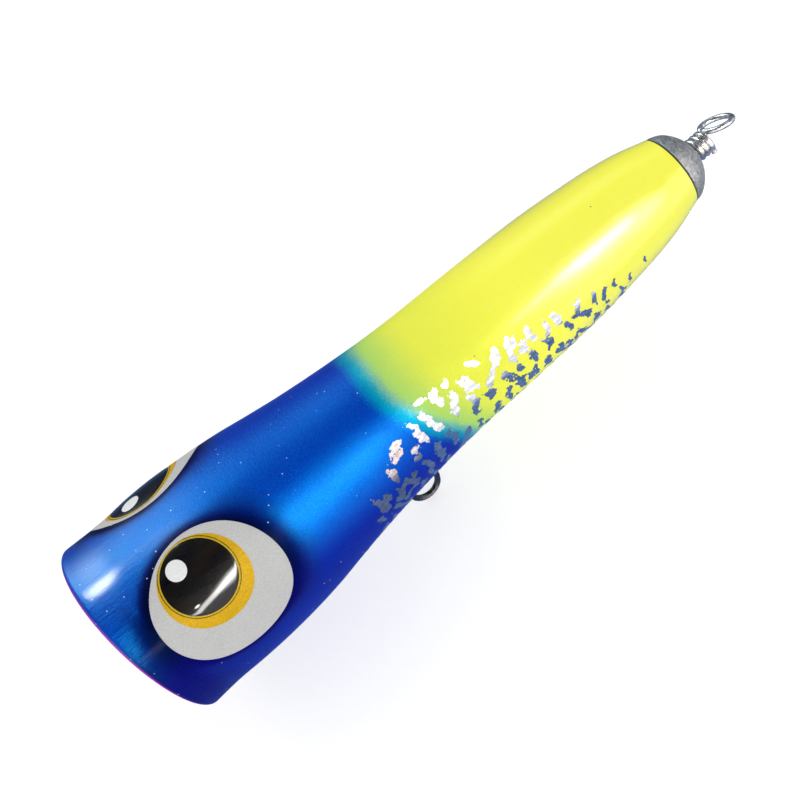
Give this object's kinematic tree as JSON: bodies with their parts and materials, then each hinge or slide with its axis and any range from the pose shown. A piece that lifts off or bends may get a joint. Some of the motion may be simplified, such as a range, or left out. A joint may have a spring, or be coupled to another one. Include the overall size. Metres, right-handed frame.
{
  "type": "topwater popper",
  "caption": "Turned wooden topwater popper with a cupped slanted mouth, layered eyes, wire eyes at nose and tail, cast tail weight and a swinging, spinning belly swivel.",
  "frame": {"origin": "centre of the whole lure's bounding box, 6.25 mm below the wire axis", "axes": "+X along the wire from mouth to tail, +Z from belly to back, so the lure's left flank faces -Y"},
  "size_m": [0.1832, 0.0476, 0.0601],
  "materials": {
    "painted_wood": "pearl blue head fading to fluorescent yellow, under a thick gloss clear coat",
    "cast_lead": "dull mottled cast lead",
    "stainless_wire": "bright drawn wire",
    "black_nickel": "polished black nickel",
    "white_vinyl": "fine-grained white vinyl under clear coat",
    "amber_foil": "amber-yellow decal under clear coat",
    "black_enamel": "wet-gloss black",
    "white_enamel": "gloss white"
  },
  "bodies": {
    "lure": {"body": "painted_wood", "tail_weight": "cast_lead", "through_wire": "stainless_wire", "eye_white_left": "white_vinyl", "eye_iris_left": "amber_foil", "eye_pupil_left": "black_enamel", "eye_glint_left": "white_enamel", "eye_white_right": "white_vinyl", "eye_iris_right": "amber_foil", "eye_pupil_right": "black_enamel", "eye_glint_right": "white_enamel"},
    "swivel_hanger": {"swivel_inner_eye": "black_nickel"},
    "swivel_barrel": {"swivel_barrel": "black_nickel"},
    "swivel_outer": {"swivel_outer_eye": "black_nickel"}
  },
  "joints": [
    {"name": "swivel_swing", "type": "hinge", "parent": "lure", "child": "swivel_hanger", "pos_m": [-0.0183, 0, 0.00625], "axis": [1, 0, 0], "range_deg": [-5, 5]},
    {"name": "barrel_spin", "type": "hinge", "parent": "swivel_hanger", "child": "swivel_barrel", "pos_m": [-0.0183, 0, -0.00995], "axis": [0, 0, 1], "continuous": true},
    {"name": "outer_eye_spin", "type": "hinge", "parent": "swivel_barrel", "child": "swivel_outer", "pos_m": [-0.0183, 0, -0.01595], "axis": [0, 0, 1], "continuous": true}
  ]
}
